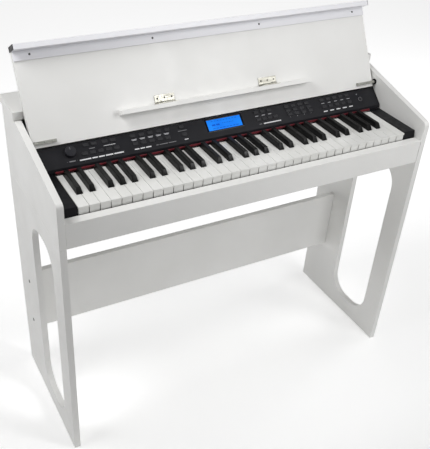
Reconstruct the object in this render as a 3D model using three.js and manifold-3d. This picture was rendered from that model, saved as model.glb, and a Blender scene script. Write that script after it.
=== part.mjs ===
// Digital piano on a stand: a white laminate console with a folding lid and music ledge, on two
// cut-out leg panels, holding a black 61-key keyboard unit. Millimetres, +Z up, +X to the player's
// right, +Y to the rear. The origin is on the floor at the centre of the bounding box.
// While the parts are made, y = 0 is the front edge of the side boards and x = 0 is the middle.
import * as THREE from "three";
import { mergeVertices } from "three/addons/utils/BufferGeometryUtils.js";
import Module from "manifold-3d";

const wasm = await Module();
wasm.setup();

// ---------------------------------------------------------------- driving dimensions
const GAP = 0.3; // between pieces that touch
const EDGE = 2; // run of a cutting tool past the face that it cuts

// cabinet
const sideThickness = 15;
const sideDepth = 355;
const legHeight = 606;
const cutoutFront = 60; // from the front edge of the leg
const cutoutWidth = 149;
const cutoutMargin = 50; // below and above the cut-out
const cutoutRadius = 60;
const cheekSlopeDeg = 13.5;
const cheekNoseRadius = 12;
const topPanelThickness = 19;
const topPanelOverhang = 3;
const boardThickness = 15; // bed, back and modesty boards
const railThickness = 22;
const railSetback = 0.8;
const modestyRearInset = 65; // from the rear edge of the leg to the rear face of the panel
const modestyBottom = 175;
const modestyHeight = 179;

// heights above the legs
const cheekNoseRise = 107; // where the sloping edge would meet the front edge
const topPanelRise = 170; // underside
const railRise = 60;
const lidPivotRise = 135.9;
const whiteTopRise = 76.5;
const inletRise = 74;

// lid
const lidLeanDeg = 29; // behind the vertical when open
const lidThickness = 15;
const lidSideGap = 4.5;
const lidPivotY = 203;
const lidPivotToEdge = 10.5; // pivot to the lower edge, along the board
const lidPivotToFace = 4.5; // pivot to the inner face
const lidBoardLength = 201.7;
const lipThickness = 12;
const lipDrop = 25; // stands out of the inner face
const flangeWidth = 20;
const flangeThickness = 2.5;
const hingeBarLength = 52;
const hingeBarHeight = 7;
const hingeBarThickness = 8.4;
const hingePinRadius = 3;
const pinClearance = 0.05;
const bushRadius = 5.5;
const bushFlangeRadius = 7.2;
const bushFlangeThickness = 1.5;
const bushDepth = 10; // into the cheek

// music ledge
const ledgeLength = 504;
const ledgeDepth = 22;
const ledgeThickness = 10;
const ledgeTopFromEdge = 47.5; // top face above the lid's lower edge
const ledgeHingeOffset = 138;
const ledgeHingeLength = 50;
const ledgeLeafWidth = 18;
const ledgeLeafThickness = 1.2;
const ledgeKnuckleRadius = 2.4;
const ledgePinRadius = 1.2;
const knuckleCount = 5;

// keys
const octaves = 5;
const whitePitch = 23.5;
const keySlit = 0.9; // between neighbouring keys
const whiteFrontHeight = 18;
const keyDip = 10; // how far the front of a key goes down
const blackSetback = 47.7; // behind the front of the white keys
const blackEndInset = 1; // from the visible end of the white keys
const blackRise = 12;
const blackBaseWidth = 13.4;
const blackTopWidth = 10.2;
const blackFrontSlope = 7; // how far the front face leans back over its height
const notchDepth = 2; // from the front of a black key to the shoulder of the white one
const tailDrop = 4.5; // from the white tops to the tails under the control panel
const tailThickness = 12.5;
const whiteTailLength = 61.3; // behind the visible end of the white keys
const blackTailExtra = 13; // past the white tails
const combWidth = 9; // the spine that joins the keys of one moulding
const combInset = 14; // from the end of the white tails to the front of their spine
const combDrop = 10.5; // from the tails to the underside of the spine

// keyboard unit
const unitSideGap = 0.8; // between the unit and the cheeks
const unitFrontGap = 1; // behind the rail
const keyFrontInset = 1.2; // from the front of the unit to the white keys
const endBlockWidth = 35.3;
const endBlockRise = 0.8; // above the white keys
const blockFrontLean = 4;
const caseWall = 2.5;
const caseStandoff = 2.2; // above the bed
const caseFrontGap = 4.5; // under a pressed key
const caseRearGap = 14; // behind the black keys' tails
const blockGap = 2; // between the case and the end blocks
const fulcrumInset = 5; // behind the white tails
const fulcrumGap = 1.2;
const panelFrontGap = 7.9; // from the visible end of the white keys to the panel's foot
const panelFootGap = 0.9; // above the end blocks
const panelFrontRise = 9.2; // of the steep front face
const panelFrontRun = 1.2;
const panelSlopeDeg = 41;
const panelSlopeLength = 49;
const panelCrestLag = 0.8; // from the lid's pivot back to the panel's crest
const panelWall = 2.5;
const panelRearRun = 8.5; // the sheet falls at 45 degrees behind the crest, then straight down
const panelRearDrop = 26;
const feltDepth = 4.5;
const feltHeight = 5;

// controls: along the sloping face from its front edge, and across as a share of the unit's half width
const buttonLift = 2; // above the face
const buttonGap = 0.35;
const buttonWidth = 12.5;
const buttonHeight = 8;
const buttonCorner = 1.5;
const webThickness = 1; // of the strip that carries one bank's buttons
const webInset = 1; // from the outer edges of the buttons
const upperRow = 41;
const middleRow = 30.5; // of the number pad
const lowerRow = 22;
const numberLowerRow = 20;
const powerShare = 0.882;
const powerAlong = 24;
const powerRadius = 4;
const powerFlange = 2;
const knobShare = -0.8275;
const knobAlong = 31;
const knobRadius = 12.9;
const knobHeight = 9.5;
const knobDraft = 0.6;
const knobEdge = 1; // height of the chamfer at its top
const knobChamfer = 0.9;
const shaftRadius = 3;
const displayOffset = 2; // from the middle
const displayAlong = 30.3;
const displayWidth = 91;
const displayHeight = 26.6;
const displayThickness = 1.6;
const moduleThickness = 5;
const circuitDepth = 8.5; // below the sloping face
const circuitThickness = 1.6;
const circuitEndMargin = 49; // from either end of the unit
const circuitMargin = 4.5; // from either edge of the sloping face

// The rows of each bank: along the slope, x of its first button from the bank's middle, pitch, count.
const buttonBanks = [
  {
    name: "buttons_mode",
    share: -0.679,
    rows: [[upperRow, -29.7, 18.4, 2], [upperRow, 14.8, 18.4, 2], [lowerRow, -36.7, 18.4, 5]],
  },
  { name: "buttons_style", share: -0.414, rows: [[upperRow, -40.9, 21, 5], [lowerRow, -39.9, 20, 5]] },
  { name: "buttons_tempo", share: -0.2375, rows: [[upperRow, -1, 0, 1], [lowerRow, 1, 0, 1]] },
  { name: "buttons_song", share: 0.2485, rows: [[upperRow, -22.1, 18.6, 3], [lowerRow, -20.1, 15.8, 4]] },
  {
    name: "buttons_number",
    share: 0.4595,
    rows: [[upperRow, -31, 20, 4], [middleRow, -29.5, 20.5, 4], [numberLowerRow, -27.5, 20.5, 4]],
  },
  { name: "buttons_record", share: 0.7135, rows: [[upperRow, -40.1, 19.7, 5], [lowerRow, -38.6, 19.9, 5]] },
];

// behind the keyboard unit
const speakerRadius = 36;
const speakerHeight = 32;
const speakerRimHeight = 4;
const speakerX = 300;
const speakerRearGap = 10; // in front of the back panel
const speakerHoleRadius = 30;
const speakerConeRadius = 27;
const speakerConeDepth = 10;
const speakerDustCapRadius = 8;
const speakerMagnetRadius = 18;
const speakerMagnetStart = 20;
const inletX = 330;
const inletWidth = 34;
const inletHeight = 24;
const inletSocketRadius = 4;
const inletSocketDepth = 10;

// ---------------------------------------------------------------- worked-out sizes
const rad = THREE.MathUtils.degToRad;
const whiteCount = octaves * 7 + 1;
const keyboardHalf = (whiteCount * whitePitch) / 2;
const unitHalf = keyboardHalf + keySlit + endBlockWidth;
const halfInner = unitHalf + unitSideGap;
const halfOuter = halfInner + sideThickness;
const boardHalf = halfInner - GAP;
const overallDepth = sideDepth + topPanelOverhang;

const cheekBottom = legHeight + GAP;
const cheekNoseHeight = legHeight + cheekNoseRise;
const cheekSlope = Math.tan(rad(cheekSlopeDeg));
const topPanelUnderside = legHeight + topPanelRise;
const cheekTop = topPanelUnderside - GAP;
const railBottom = legHeight + GAP;
const railTop = legHeight + railRise;
const bedTop = railBottom + boardThickness;

const lean = rad(lidLeanDeg);
const lidPivotZ = legHeight + lidPivotRise;
const lidHalf = halfInner - lidSideGap;
const lidInner = lidPivotToFace;
const lidOuter = lidPivotToFace + lidThickness;
const lidFreeEnd = lidPivotToEdge - lidBoardLength;

// The front edge of the top panel just misses the open lid's outer face.
const topPanelFront = lidPivotY + (topPanelUnderside + topPanelThickness - lidPivotZ) * Math.tan(lean)
  + (lidOuter + GAP) / Math.cos(lean);

// The control panel's crest lies under the lid's pivot, and the keys fill the room in front of it.
const whiteTop = legHeight + whiteTopRise;
const blockTop = whiteTop + endBlockRise;
const panelFootZ = blockTop + panelFootGap;
const panelSlopeZ = panelFootZ + panelFrontRise;
const crestY = lidPivotY + panelCrestLag;
const crestZ = panelSlopeZ + panelSlopeLength * Math.sin(rad(panelSlopeDeg));
const panelSlopeY = crestY - panelSlopeLength * Math.cos(rad(panelSlopeDeg));
const panelFrontY = panelSlopeY - panelFrontRun;

const unitFront = railSetback + railThickness + unitFrontGap;
const whiteFront = unitFront + keyFrontInset;
const whiteEnd = panelFrontY - panelFrontGap;
const whiteTailEnd = whiteEnd + whiteTailLength;
const whiteBottom = whiteTop - whiteFrontHeight;
const blackFront = whiteFront + blackSetback;
const blackEnd = whiteEnd - blackEndInset;
const blackTailEnd = whiteTailEnd + blackTailExtra;
const keyTailTop = whiteTop - tailDrop;
const keyTailBottom = keyTailTop - tailThickness;
const whiteCombStart = whiteTailEnd - combInset;
const whiteCombBottom = keyTailBottom - combDrop;

const caseBottom = bedTop + caseStandoff;
const caseRear = blackTailEnd + caseRearGap;
const caseFrontTop = whiteBottom - keyDip - caseFrontGap;
const blockBottom = caseFrontTop + blockGap;
const fulcrumY = whiteTailEnd + fulcrumInset;
const fulcrumTop = keyTailBottom - fulcrumGap;

const powerX = powerShare * unitHalf;
const knobX = knobShare * unitHalf;
const speakerY = sideDepth - boardThickness - speakerRearGap - speakerRadius;
const inletZ = legHeight + inletRise;

// ---------------------------------------------------------------- solids
function solid(geometry) {
  geometry.deleteAttribute("normal");
  geometry.deleteAttribute("uv");
  const merged = mergeVertices(geometry, 1e-4);
  return new wasm.Manifold(new wasm.Mesh({
    numProp: 3,
    vertProperties: new Float32Array(merged.attributes.position.array),
    triVerts: new Uint32Array(merged.index.array),
  }));
}

function surface(manifold) {
  const mesh = manifold.getMesh();
  const geometry = new THREE.BufferGeometry();
  geometry.setAttribute("position", new THREE.BufferAttribute(mesh.vertProperties, 3));
  geometry.setIndex(new THREE.BufferAttribute(mesh.triVerts, 1));
  geometry.computeVertexNormals();
  return geometry;
}

const outline = (points) => new THREE.Shape(points.map(([a, b]) => new THREE.Vector2(a, b)));

function prism(shape, length, curveSegments = 8) {
  return new THREE.ExtrudeGeometry(shape, { depth: length, bevelEnabled: false, curveSegments });
}

// Across the object: a shape drawn in Y and Z, swept from x0 to x1.
function sweepX(shape, x0, x1, curveSegments) {
  const turn = new THREE.Matrix4().set(0, 0, 1, x0, 1, 0, 0, 0, 0, 1, 0, 0, 0, 0, 0, 1);
  return solid(prism(shape, x1 - x0, curveSegments).applyMatrix4(turn));
}

// Upwards: a shape drawn in X and Y, swept from z0 to z1.
function sweepZ(shape, z0, z1, curveSegments) {
  return solid(prism(shape, z1 - z0, curveSegments).translate(0, 0, z0));
}

function block(x0, x1, y0, y1, z0, z1) {
  const box = new THREE.BoxGeometry(x1 - x0, y1 - y0, z1 - z0);
  return solid(box.translate((x0 + x1) / 2, (y0 + y1) / 2, (z0 + z1) / 2));
}

// A round bar along X ("x") or Z ("z"), from a to b along its axis.
function rod(axis, radius, a, b, u, v, segments = 24) {
  const bar = new THREE.CylinderGeometry(radius, radius, b - a, segments);
  const middle = (a + b) / 2;
  if (axis === "x") {
    return solid(bar.rotateZ(Math.PI / 2).translate(middle, u, v));
  }
  return solid(bar.rotateX(Math.PI / 2).translate(u, v, middle));
}

const join = (solids) => solids.reduce((sum, next) => sum.add(next));
const cutAll = (body, tools) => tools.reduce((left, tool) => left.subtract(tool), body);

function roundedRectangle(x0, x1, y0, y1, radius) {
  const shape = new THREE.Shape();
  shape.moveTo(x0 + radius, y0);
  shape.lineTo(x1 - radius, y0);
  shape.absarc(x1 - radius, y0 + radius, radius, -Math.PI / 2, 0);
  shape.absarc(x1 - radius, y1 - radius, radius, 0, Math.PI / 2);
  shape.absarc(x0 + radius, y1 - radius, radius, Math.PI / 2, Math.PI);
  shape.absarc(x0 + radius, y0 + radius, radius, Math.PI, Math.PI * 1.5);
  shape.closePath();
  return shape;
}

// ---------------------------------------------------------------- finishes
const finish = (color, roughness, metalness = 0) => (
  new THREE.MeshStandardMaterial({ color, roughness, metalness }));
const white = finish(0xdededc, 0.45);
const black = finish(0x17181a, 0.4);
const blackKey = finish(0x1b1b1c, 0.35);
const whiteKey = finish(0xf2f2ee, 0.25);
const felt = finish(0x6a0f1c, 0.95);
const blue = finish(0x1f6fe0, 0.15);
const grey = finish(0x3a3c40, 0.5);
const steel = finish(0x8f9088, 0.35, 1);
const cream = finish(0xcfc9a8, 0.4, 0.8);
const green = finish(0x1f5a38, 0.6);

const piano = new THREE.Group();
piano.position.y = -overallDepth / 2;

function place(parent, name, body, material) {
  const mesh = new THREE.Mesh(surface(body), material);
  mesh.name = name;
  parent.add(mesh);
}

// Each side is [name, -1 for the left or 1 for the right].
const sides = [["left", -1], ["right", 1]];
const span = (side, near, far) => (side < 0 ? [-far, -near] : [near, far]);

// ---------------------------------------------------------------- cabinet
function leg(side) {
  const board = block(...span(side, halfInner, halfOuter), 0, sideDepth, 0, legHeight);
  const hole = roundedRectangle(cutoutFront, cutoutFront + cutoutWidth, cutoutMargin,
    legHeight - cutoutMargin, cutoutRadius);
  const [x0, x1] = span(side, halfInner - EDGE, halfOuter + EDGE);
  return board.subtract(sweepX(hole, x0, x1, 10));
}

function cheek(side) {
  const slope = rad(cheekSlopeDeg);
  const slopeEnd = (cheekTop - cheekNoseHeight) / cheekSlope;
  const tangent = cheekNoseRadius * Math.tan((Math.PI / 2 - slope) / 2);
  const shape = new THREE.Shape();
  shape.moveTo(0, cheekBottom);
  shape.lineTo(sideDepth, cheekBottom);
  shape.lineTo(sideDepth, cheekTop);
  shape.lineTo(slopeEnd, cheekTop);
  shape.absarc(cheekNoseRadius, cheekNoseHeight - tangent, cheekNoseRadius, Math.PI / 2 + slope, Math.PI);
  shape.closePath();
  const board = sweepX(shape, ...span(side, halfInner, halfOuter), 6);
  const seat = span(side, halfInner - EDGE, halfInner + bushDepth + GAP);
  return board.subtract(rod("x", bushRadius + GAP, ...seat, lidPivotY, lidPivotZ));
}

function keyBed() {
  const bed = block(-boardHalf, boardHalf, railSetback + railThickness + GAP,
    sideDepth - boardThickness - GAP, railBottom, bedTop);
  const hole = (x) => rod("z", speakerHoleRadius, railBottom - EDGE, bedTop + EDGE, x, speakerY);
  return cutAll(bed, [hole(-speakerX), hole(speakerX)]);
}

function backPanel() {
  const board = block(-boardHalf, boardHalf, sideDepth - boardThickness, sideDepth, railBottom, cheekTop);
  return board.subtract(block(inletX - inletWidth / 2 - GAP, inletX + inletWidth / 2 + GAP,
    sideDepth - boardThickness - EDGE, sideDepth + EDGE,
    inletZ - inletHeight / 2 - GAP, inletZ + inletHeight / 2 + GAP));
}

function buildCabinet() {
  for (const [name, side] of sides) {
    place(piano, `leg_${name}`, leg(side), white);
    place(piano, `cheek_${name}`, cheek(side), white);
  }
  place(piano, "top_panel", block(-halfOuter - topPanelOverhang, halfOuter + topPanelOverhang, topPanelFront,
    overallDepth, topPanelUnderside, topPanelUnderside + topPanelThickness), white);
  place(piano, "back_panel", backPanel(), white);
  place(piano, "key_bed", keyBed(), white);
  place(piano, "front_rail", block(-boardHalf, boardHalf, railSetback, railSetback + railThickness,
    railBottom, railTop), white);
  const modestyRear = sideDepth - modestyRearInset;
  place(piano, "modesty_panel", block(-boardHalf, boardHalf, modestyRear - boardThickness, modestyRear,
    modestyBottom, modestyBottom + modestyHeight), white);
}

// ---------------------------------------------------------------- lid
// The lid is drawn lying flat and closed: the pivot is the origin, -Y runs to its free edge, the
// outer face is up and the inner face is down. It is then turned back to stand open.
const lid = new THREE.Group();
lid.position.set(0, lidPivotY, lidPivotZ);
lid.rotation.x = -Math.PI / 2 - lean;
piano.add(lid);

function hingeBar(side) {
  const top = lidInner - GAP;
  const outer = lidHalf - GAP;
  const [x0, x1] = span(side, outer - hingeBarLength, outer);
  const bar = block(x0, x1, -hingeBarHeight / 2, hingeBarHeight / 2, top - hingeBarThickness, top);
  const pin = span(side, outer - hingeBarLength / 2, halfInner + bushDepth - GAP);
  return bar.add(rod("x", hingePinRadius, ...pin, 0, 0));
}

function bush(side) {
  const flangeFace = halfInner - GAP - bushFlangeThickness;
  const round = (radius, near, far) => rod("x", radius, ...span(side, near, far), lidPivotY, lidPivotZ);
  const sleeve = round(bushRadius, flangeFace, halfInner + bushDepth);
  const flange = round(bushFlangeRadius, flangeFace, halfInner - GAP);
  const bore = round(hingePinRadius + pinClearance, flangeFace - EDGE, halfInner + bushDepth + EDGE);
  return sleeve.add(flange).subtract(bore);
}

function frontStrip() {
  const lipEnd = lidFreeEnd - lipThickness;
  const root = lidFreeEnd - GAP;
  const faceZ = lidInner - GAP;
  return sweepX(outline([
    [lipEnd, lidOuter],
    [lipEnd, lidInner - lipDrop],
    [root, lidInner - lipDrop],
    [root, faceZ - flangeThickness],
    [lidFreeEnd + flangeWidth, faceZ - flangeThickness],
    [lidFreeEnd + flangeWidth, faceZ],
    [root, faceZ],
    [root, lidOuter],
  ]), -lidHalf, lidHalf);
}

function buildLid() {
  place(lid, "lid_panel", block(-lidHalf, lidHalf, lidFreeEnd, lidPivotToEdge, lidInner, lidOuter), white);
  place(lid, "lid_front_strip", frontStrip(), white);
  for (const [name, side] of sides) {
    place(lid, `lid_hinge_bar_${name}`, hingeBar(side), steel);
    place(piano, `lid_hinge_bush_${name}`, bush(side), black);
  }
}

// ---------------------------------------------------------------- music ledge
// In the lid's flat position the ledge hangs down from the inner face. Its hinge pins lie in the
// corner between the inner face and the ledge's top face.
const ledgeTopY = lidPivotToEdge - ledgeTopFromEdge;
const knuckleY = ledgeTopY - GAP - ledgeKnuckleRadius;
const knuckleZ = lidInner - GAP - ledgeKnuckleRadius;
const knucklePitch = ledgeHingeLength / knuckleCount;

// Every second knuckle of a hinge, starting with the given one.
function everySecondKnuckle(centre, first, make) {
  const made = [];
  for (let i = first; i < knuckleCount; i += 2) {
    const start = centre - ledgeHingeLength / 2 + i * knucklePitch;
    made.push(make(start, start + knucklePitch));
  }
  return made;
}

const knuckles = (centre, first) => everySecondKnuckle(centre, first, (x0, x1) => (
  rod("x", ledgeKnuckleRadius, x0 + GAP / 2, x1 - GAP / 2, knuckleY, knuckleZ, 16)));

// Room in one leaf for the other leaf's knuckles.
const knuckleSlots = (centre, first) => everySecondKnuckle(centre, first, (x0, x1) => {
  const reach = ledgeKnuckleRadius + GAP;
  return block(x0 - GAP / 2, x1 + GAP / 2, knuckleY - reach, knuckleY + reach,
    knuckleZ - reach, knuckleZ + reach);
});

// The leaf on the lid, with the end knuckles and the pin.
function fixedLeaf(centre) {
  const x0 = centre - ledgeHingeLength / 2 + GAP / 2;
  const x1 = centre + ledgeHingeLength / 2 - GAP / 2;
  const top = lidInner - GAP;
  const plate = block(x0, x1, knuckleY - ledgeLeafWidth, knuckleY, top - ledgeLeafThickness, top);
  const pin = rod("x", ledgePinRadius, x0, x1, knuckleY, knuckleZ, 12);
  return join([cutAll(plate, knuckleSlots(centre, 1)), ...knuckles(centre, 0), pin]);
}

// The leaf on the ledge, which turns about the pin.
function movingLeaf(centre) {
  const x0 = centre - ledgeHingeLength / 2 + GAP / 2;
  const x1 = centre + ledgeHingeLength / 2 - GAP / 2;
  const face = ledgeTopY - GAP;
  const plate = block(x0, x1, face - ledgeLeafThickness, face, knuckleZ - ledgeLeafWidth, knuckleZ);
  const bore = rod("x", ledgePinRadius + pinClearance, x0 - EDGE, x1 + EDGE, knuckleY, knuckleZ, 12);
  return join([cutAll(plate, knuckleSlots(centre, 0)), ...knuckles(centre, 1)]).subtract(bore);
}

function buildMusicLedge() {
  const rear = lidInner - GAP;
  place(lid, "music_ledge", block(-ledgeLength / 2, ledgeLength / 2, ledgeTopY, ledgeTopY + ledgeThickness,
    rear - ledgeDepth, rear), white);
  for (const [name, side] of sides) {
    place(lid, `ledge_hinge_leaf_${name}`, fixedLeaf(side * ledgeHingeOffset), cream);
    place(lid, `ledge_hinge_flap_${name}`, movingLeaf(side * ledgeHingeOffset), cream);
  }
}

// ---------------------------------------------------------------- keys
// The seven white keys of an octave, then its black keys as offsets from the slit on their left.
const whiteNames = ["c", "d", "e", "f", "g", "a", "b"];
const blackKeys = [
  { name: "c_sharp", after: 0, offset: -2.4 },
  { name: "d_sharp", after: 1, offset: 2.4 },
  { name: "f_sharp", after: 3, offset: -3.4 },
  { name: "g_sharp", after: 4, offset: 0 },
  { name: "a_sharp", after: 5, offset: 3.4 },
];
const singleOctave = Math.floor(octaves / 2); // its keys are separate pieces
const whiteLeft = (index) => -keyboardHalf + index * whitePitch;
const blackCentre = (octave, key) => whiteLeft(octave * 7 + key.after + 1) + key.offset;

// A white key with its shoulders cut away beside the black keys of its own octave.
function whiteKeySolid(octave, step) {
  const left = whiteLeft(octave * 7 + step);
  const x0 = left + keySlit / 2;
  const x1 = left + whitePitch - keySlit / 2;
  const head = block(x0, x1, whiteFront, whiteEnd, whiteBottom, whiteTop);
  const tail = block(x0, x1, whiteEnd - EDGE, whiteTailEnd, keyTailBottom, keyTailTop);
  const notches = octave < octaves ? blackKeys.map((key) => {
    const centre = blackCentre(octave, key);
    const half = blackBaseWidth / 2 + keySlit;
    return block(centre - half, centre + half, blackFront - notchDepth, whiteTailEnd + EDGE,
      whiteBottom - EDGE, whiteTop + EDGE);
  }) : [];
  return cutAll(head.add(tail), notches);
}

// A black key: a tapered cap with a sloping front, on a body that runs back under the panel.
function blackKeySolid(octave, key) {
  const centre = blackCentre(octave, key);
  const top = whiteTop + blackRise;
  const bodySide = outline([
    [blackFront, keyTailBottom],
    [blackTailEnd, keyTailBottom],
    [blackTailEnd, keyTailTop],
    [blackEnd, keyTailTop],
    [blackEnd, top],
    [blackFront + blackFrontSlope, top],
    [blackFront, whiteTop + GAP],
  ]);
  const body = sweepX(bodySide, centre - blackBaseWidth / 2, centre + blackBaseWidth / 2);
  const taper = (side) => {
    const shape = outline([
      [centre + side * blackTopWidth / 2, top + GAP],
      [centre + side * blackBaseWidth / 2, whiteTop],
      [centre + side * (blackBaseWidth / 2 + EDGE), whiteTop],
      [centre + side * (blackBaseWidth / 2 + EDGE), top + GAP],
    ]);
    const length = blackEnd - blackFront + 2 * EDGE;
    return solid(prism(shape, length).rotateX(Math.PI / 2).translate(0, blackEnd + EDGE, 0));
  };
  return body.subtract(taper(-1)).subtract(taper(1));
}

function whiteMoulding(octave) {
  const x0 = whiteLeft(octave * 7) + keySlit / 2;
  const x1 = whiteLeft(octave * 7 + 7) - keySlit / 2;
  const comb = block(x0, x1, whiteCombStart, whiteCombStart + combWidth,
    whiteCombBottom, keyTailBottom - EDGE);
  const foot = (step) => {
    const middle = whiteTailMiddle(octave, step);
    return block(middle - EDGE, middle + EDGE, whiteCombStart, whiteCombStart + combWidth,
      whiteCombBottom, keyTailBottom + EDGE);
  };
  const keys = whiteNames.map((_, step) => whiteKeySolid(octave, step));
  return join([comb, ...whiteNames.map((_, step) => foot(step)), ...keys]);
}

// The middle of the part of a white key that runs back between the black ones.
function whiteTailMiddle(octave, step) {
  const half = blackBaseWidth / 2 + keySlit;
  let x0 = whiteLeft(octave * 7 + step);
  let x1 = x0 + whitePitch;
  for (const key of blackKeys) {
    const centre = blackCentre(octave, key);
    if (key.after === step - 1) x0 = Math.max(x0, centre + half);
    if (key.after === step) x1 = Math.min(x1, centre - half);
  }
  return (x0 + x1) / 2;
}

function blackMoulding(octave) {
  const solids = blackKeys.map((key) => blackKeySolid(octave, key));
  const x0 = blackCentre(octave, blackKeys[0]);
  const x1 = blackCentre(octave, blackKeys[blackKeys.length - 1]);
  const comb = block(x0, x1, blackTailEnd - combWidth, blackTailEnd,
    keyTailBottom + EDGE, keyTailTop - EDGE);
  return join([comb, ...solids]);
}

function buildKeys() {
  for (let octave = 0; octave < octaves; octave += 1) {
    if (octave === singleOctave) {
      whiteNames.forEach((name, step) => place(piano, `key_${name}`, whiteKeySolid(octave, step), whiteKey));
      blackKeys.forEach((key) => place(piano, `key_${key.name}`, blackKeySolid(octave, key), blackKey));
    } else {
      place(piano, `white_keys_octave_${octave + 1}`, whiteMoulding(octave), whiteKey);
      place(piano, `black_keys_octave_${octave + 1}`, blackMoulding(octave), blackKey);
    }
  }
  place(piano, "key_top_c", whiteKeySolid(octaves, 0), whiteKey);
}

// ---------------------------------------------------------------- keyboard unit
// The case is an open tray with a ridge that the keys' tails rock on.
function keyboardCase() {
  const profile = outline([
    [unitFront, caseBottom],
    [caseRear, caseBottom],
    [caseRear, keyTailTop],
    [caseRear - caseWall, keyTailTop],
    [caseRear - caseWall, caseBottom + caseWall],
    [fulcrumY + caseWall, caseBottom + caseWall],
    [fulcrumY + caseWall / 2, fulcrumTop],
    [fulcrumY - caseWall / 2, fulcrumTop],
    [fulcrumY - caseWall, caseBottom + caseWall],
    [unitFront + caseWall, caseBottom + caseWall],
    [unitFront + caseWall, caseFrontTop],
    [unitFront, caseFrontTop],
  ]);
  const tray = sweepX(profile, -unitHalf, unitHalf);
  const end = (side) => block(...span(side, unitHalf - caseWall, unitHalf), unitFront, caseRear,
    caseBottom, caseFrontTop);
  return join([tray, end(-1), end(1)]);
}

function endBlock(side) {
  const shape = outline([
    [unitFront, blockBottom],
    [panelFrontY - GAP, blockBottom],
    [panelFrontY - GAP, blockTop],
    [unitFront + blockFrontLean, blockTop],
  ]);
  return sweepX(shape, ...span(side, keyboardHalf + keySlit, unitHalf));
}

// The control panel is drawn in its own frame, whose origin is the front edge of the sloping face:
// +Y runs up the slope and +Z stands out of it.
const panel = new THREE.Group();
panel.position.set(0, panelSlopeY, panelSlopeZ);
panel.rotation.x = rad(panelSlopeDeg);
piano.add(panel);
panel.updateMatrix();
const toPanel = panel.matrix.clone().invert();

function inPanel(y, z) {
  const point = new THREE.Vector3(0, y, z).applyMatrix4(toPanel);
  return [point.y, point.z];
}

// The panel's sheet runs from its foot over the sloping face and down behind it.
const sheetLine = [
  inPanel(panelFrontY, panelFootZ),
  [0, 0],
  [panelSlopeLength, 0],
  inPanel(crestY + panelRearRun, crestZ - panelRearRun),
  inPanel(crestY + panelRearRun, crestZ - panelRearDrop),
];

// The same line moved inwards by a distance, with mitred corners.
function offsetLine(line, distance) {
  const points = line.map(([a, b]) => new THREE.Vector2(a, b));
  const normal = (i) => {
    const along = points[i + 1].clone().sub(points[i]).normalize();
    return new THREE.Vector2(along.y, -along.x);
  };
  return points.map((point, i) => {
    const before = normal(Math.max(i - 1, 0));
    const after = normal(Math.min(i, points.length - 2));
    const mitre = before.clone().add(after).normalize();
    const moved = point.clone().addScaledVector(mitre, distance / mitre.dot(after));
    return [moved.x, moved.y];
  });
}

const buttonPlaces = (bank) => bank.rows.flatMap(([along, first, pitch, count]) => (
  Array.from({ length: count }, (_, i) => [bank.share * unitHalf + first + i * pitch, along])));

// A button's outline with cut corners, grown by a margin.
function buttonShape(x, along, margin) {
  const a = buttonWidth / 2 + margin;
  const b = buttonHeight / 2 + margin;
  const c = buttonCorner;
  return outline([
    [x - a + c, along - b],
    [x + a - c, along - b],
    [x + a, along - b + c],
    [x + a, along + b - c],
    [x + a - c, along + b],
    [x - a + c, along + b],
    [x - a, along + b - c],
    [x - a, along - b + c],
  ]);
}

// The buttons of one bank stand on a web under the panel's wall.
const webTop = -panelWall - buttonGap;
const webBottom = webTop - webThickness;

function buttonBank(bank) {
  const places = buttonPlaces(bank);
  const posts = places.map(([x, along]) => sweepZ(buttonShape(x, along, 0), webBottom, buttonLift));
  const xs = places.map(([x]) => x);
  const alongs = places.map(([, along]) => along);
  const reachX = buttonWidth / 2 - webInset;
  const reachY = buttonHeight / 2 - webInset;
  const web = block(Math.min(...xs) - reachX, Math.max(...xs) + reachX,
    Math.min(...alongs) - reachY, Math.max(...alongs) + reachY, webBottom, webTop);
  return join([web, ...posts]);
}

function powerButton() {
  const cap = rod("z", powerRadius, webBottom, buttonLift, powerX, powerAlong, 20);
  return cap.add(rod("z", powerRadius + powerFlange, webBottom, webTop, powerX, powerAlong, 20));
}

const displayBox = (margin, z0, z1) => block(displayOffset - displayWidth / 2 - margin,
  displayOffset + displayWidth / 2 + margin, displayAlong - displayHeight / 2 - margin,
  displayAlong + displayHeight / 2 + margin, z0, z1);

function controlPanel() {
  const inner = offsetLine(sheetLine, panelWall);
  const sheet = sweepX(outline([...sheetLine, ...inner.reverse()]), -unitHalf, unitHalf);
  const wall = (side) => sweepX(outline(sheetLine), ...span(side, unitHalf - panelWall, unitHalf));
  const holes = buttonBanks.flatMap((bank) => buttonPlaces(bank).map(([x, along]) => (
    sweepZ(buttonShape(x, along, buttonGap), -panelWall - EDGE, EDGE))));
  const round = (radius, x, along) => rod("z", radius, -panelWall - EDGE, EDGE, x, along, 20);
  return cutAll(join([sheet, wall(-1), wall(1)]), [
    ...holes,
    round(powerRadius + buttonGap, powerX, powerAlong),
    round(shaftRadius + buttonGap, knobX, knobAlong),
    displayBox(GAP, -panelWall - EDGE, EDGE),
  ]);
}

function volumeKnob() {
  const cap = [
    [0, GAP],
    [knobRadius, GAP],
    [knobRadius - knobDraft, knobHeight - knobEdge],
    [knobRadius - knobDraft - knobChamfer, knobHeight],
    [0, knobHeight],
  ].map(([r, z]) => new THREE.Vector2(r, z));
  const knob = solid(new THREE.LatheGeometry(cap, 28).rotateX(Math.PI / 2).translate(knobX, knobAlong, 0));
  return knob.add(rod("z", shaftRadius, -circuitDepth + GAP, knobHeight / 2, knobX, knobAlong));
}

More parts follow.
